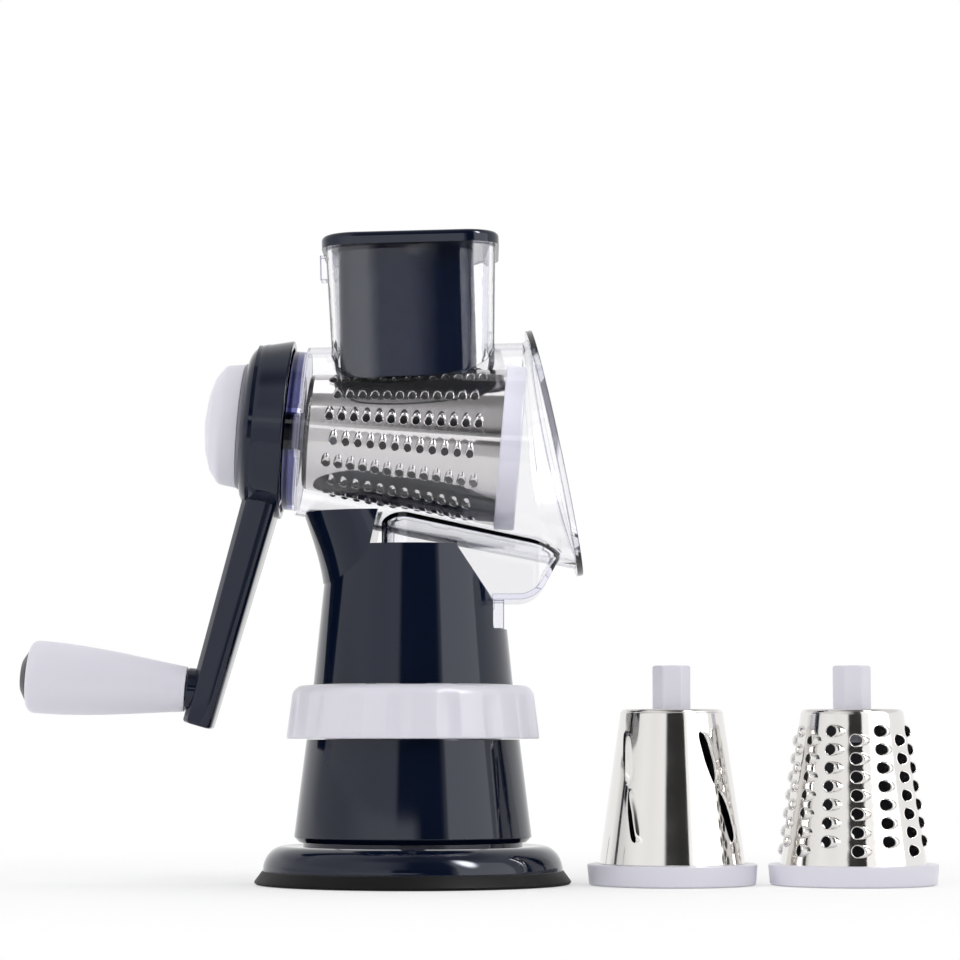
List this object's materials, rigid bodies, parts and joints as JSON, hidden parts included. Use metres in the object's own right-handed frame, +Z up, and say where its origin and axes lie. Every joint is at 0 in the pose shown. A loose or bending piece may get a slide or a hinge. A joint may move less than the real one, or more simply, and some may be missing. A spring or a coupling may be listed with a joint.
{
  "type": "rotary drum shredder",
  "caption": "Hand cranked drum shredder on a suction base: clear chamber and hopper, food pusher, fitted fine drum, spare slicing and coarse drums.",
  "frame": {"origin": "centre of the suction pad's underside, on the surface it stands on", "axes": "+Z up, +X towards the outlet mouth, crank on the -X side, hopper up"},
  "size_m": [0.4148, 0.143, 0.292],
  "materials": {
    "navy_plastic": "glossy moulded, deep navy",
    "white_plastic": "satin gloss moulded, cool lavender white",
    "clear_plastic": "clear polished, violet blue at the edges",
    "black_rubber": "matte black",
    "drum_steel": "bright polished stainless",
    "screw_steel": "plain steel",
    "grey_plastic": "satin dark grey",
    "dark_plastic": "satin near black"
  },
  "bodies": {
    "stand": {"suction_pad": "black_rubber", "foot_ring": "navy_plastic", "foot_screws": "screw_steel", "lower_tower": "navy_plastic", "tower_screws": "screw_steel", "upper_tower": "navy_plastic", "return_spring": "screw_steel", "clear_housing": "clear_plastic"},
    "suction_plunger": {"plunger": "white_plastic", "cam_pin": "screw_steel"},
    "suction_ring": {"twist_ring": "white_plastic"},
    "crank": {"crank_arm": "navy_plastic", "knob_bezel": "grey_plastic", "grip_axle": "screw_steel"},
    "lock_knob": {"lock_knob": "white_plastic", "knob_stem": "screw_steel"},
    "grip": {"grip_sleeve": "white_plastic", "grip_end_cap": "dark_plastic"},
    "fine_drum": {"fine_drum_shell": "drum_steel", "fine_drum_ring": "white_plastic", "fine_drum_hub": "white_plastic"},
    "pusher": {"pusher_body": "navy_plastic", "pusher_cap": "navy_plastic"},
    "slicer_drum": {"slicer_drum_shell": "drum_steel", "slicer_drum_ring": "white_plastic", "slicer_drum_hub": "white_plastic"},
    "coarse_drum": {"coarse_drum_shell": "drum_steel", "coarse_drum_ring": "white_plastic", "coarse_drum_hub": "white_plastic"}
  },
  "joints": [
    {"name": "crank_turn", "type": "hinge", "parent": "stand", "child": "crank", "pos_m": [0, 0, 0.2002], "axis": [0.9965, 0, -0.0837], "continuous": true},
    {"name": "grip_spin", "type": "hinge", "parent": "crank", "child": "grip", "pos_m": [-0.13867, 0, 0.09042], "axis": [0.9965, 0, -0.0837], "continuous": true},
    {"name": "knob_turn", "type": "hinge", "parent": "crank", "child": "lock_knob", "pos_m": [0, 0, 0.2002], "axis": [0.9965, 0, -0.0837], "range_deg": [0, 90]},
    {"name": "drum_slide", "type": "slide", "parent": "crank", "child": "fine_drum", "axis": [0.9965, 0, -0.0837], "range_m": [0, 0.13]},
    {"name": "pusher_lift", "type": "slide", "parent": "stand", "child": "pusher", "axis": [-0.0262, 0, 0.9997], "range_m": [0, 0.075]},
    {"name": "ring_twist", "type": "hinge", "parent": "stand", "child": "suction_ring", "pos_m": [0, 0, 0.077], "axis": [0, 0, 1], "range_deg": [0, 60]},
    {"name": "plunger_rise", "type": "slide", "parent": "stand", "child": "suction_plunger", "axis": [0, 0, 1], "range_m": [0, 0.00501], "deforming": ["return_spring"]},
    {"name": "slicer_lift", "type": "slide", "parent": "stand", "child": "slicer_drum", "axis": [0, 0, 1], "range_m": [0, 0.045]},
    {"name": "coarse_lift", "type": "slide", "parent": "stand", "child": "coarse_drum", "axis": [0, 0, 1], "range_m": [0, 0.045]}
  ],
  "couplings": [
    {"joint": "plunger_rise", "follows": "ring_twist", "m_per_rad": 0.0047746}
  ]
}
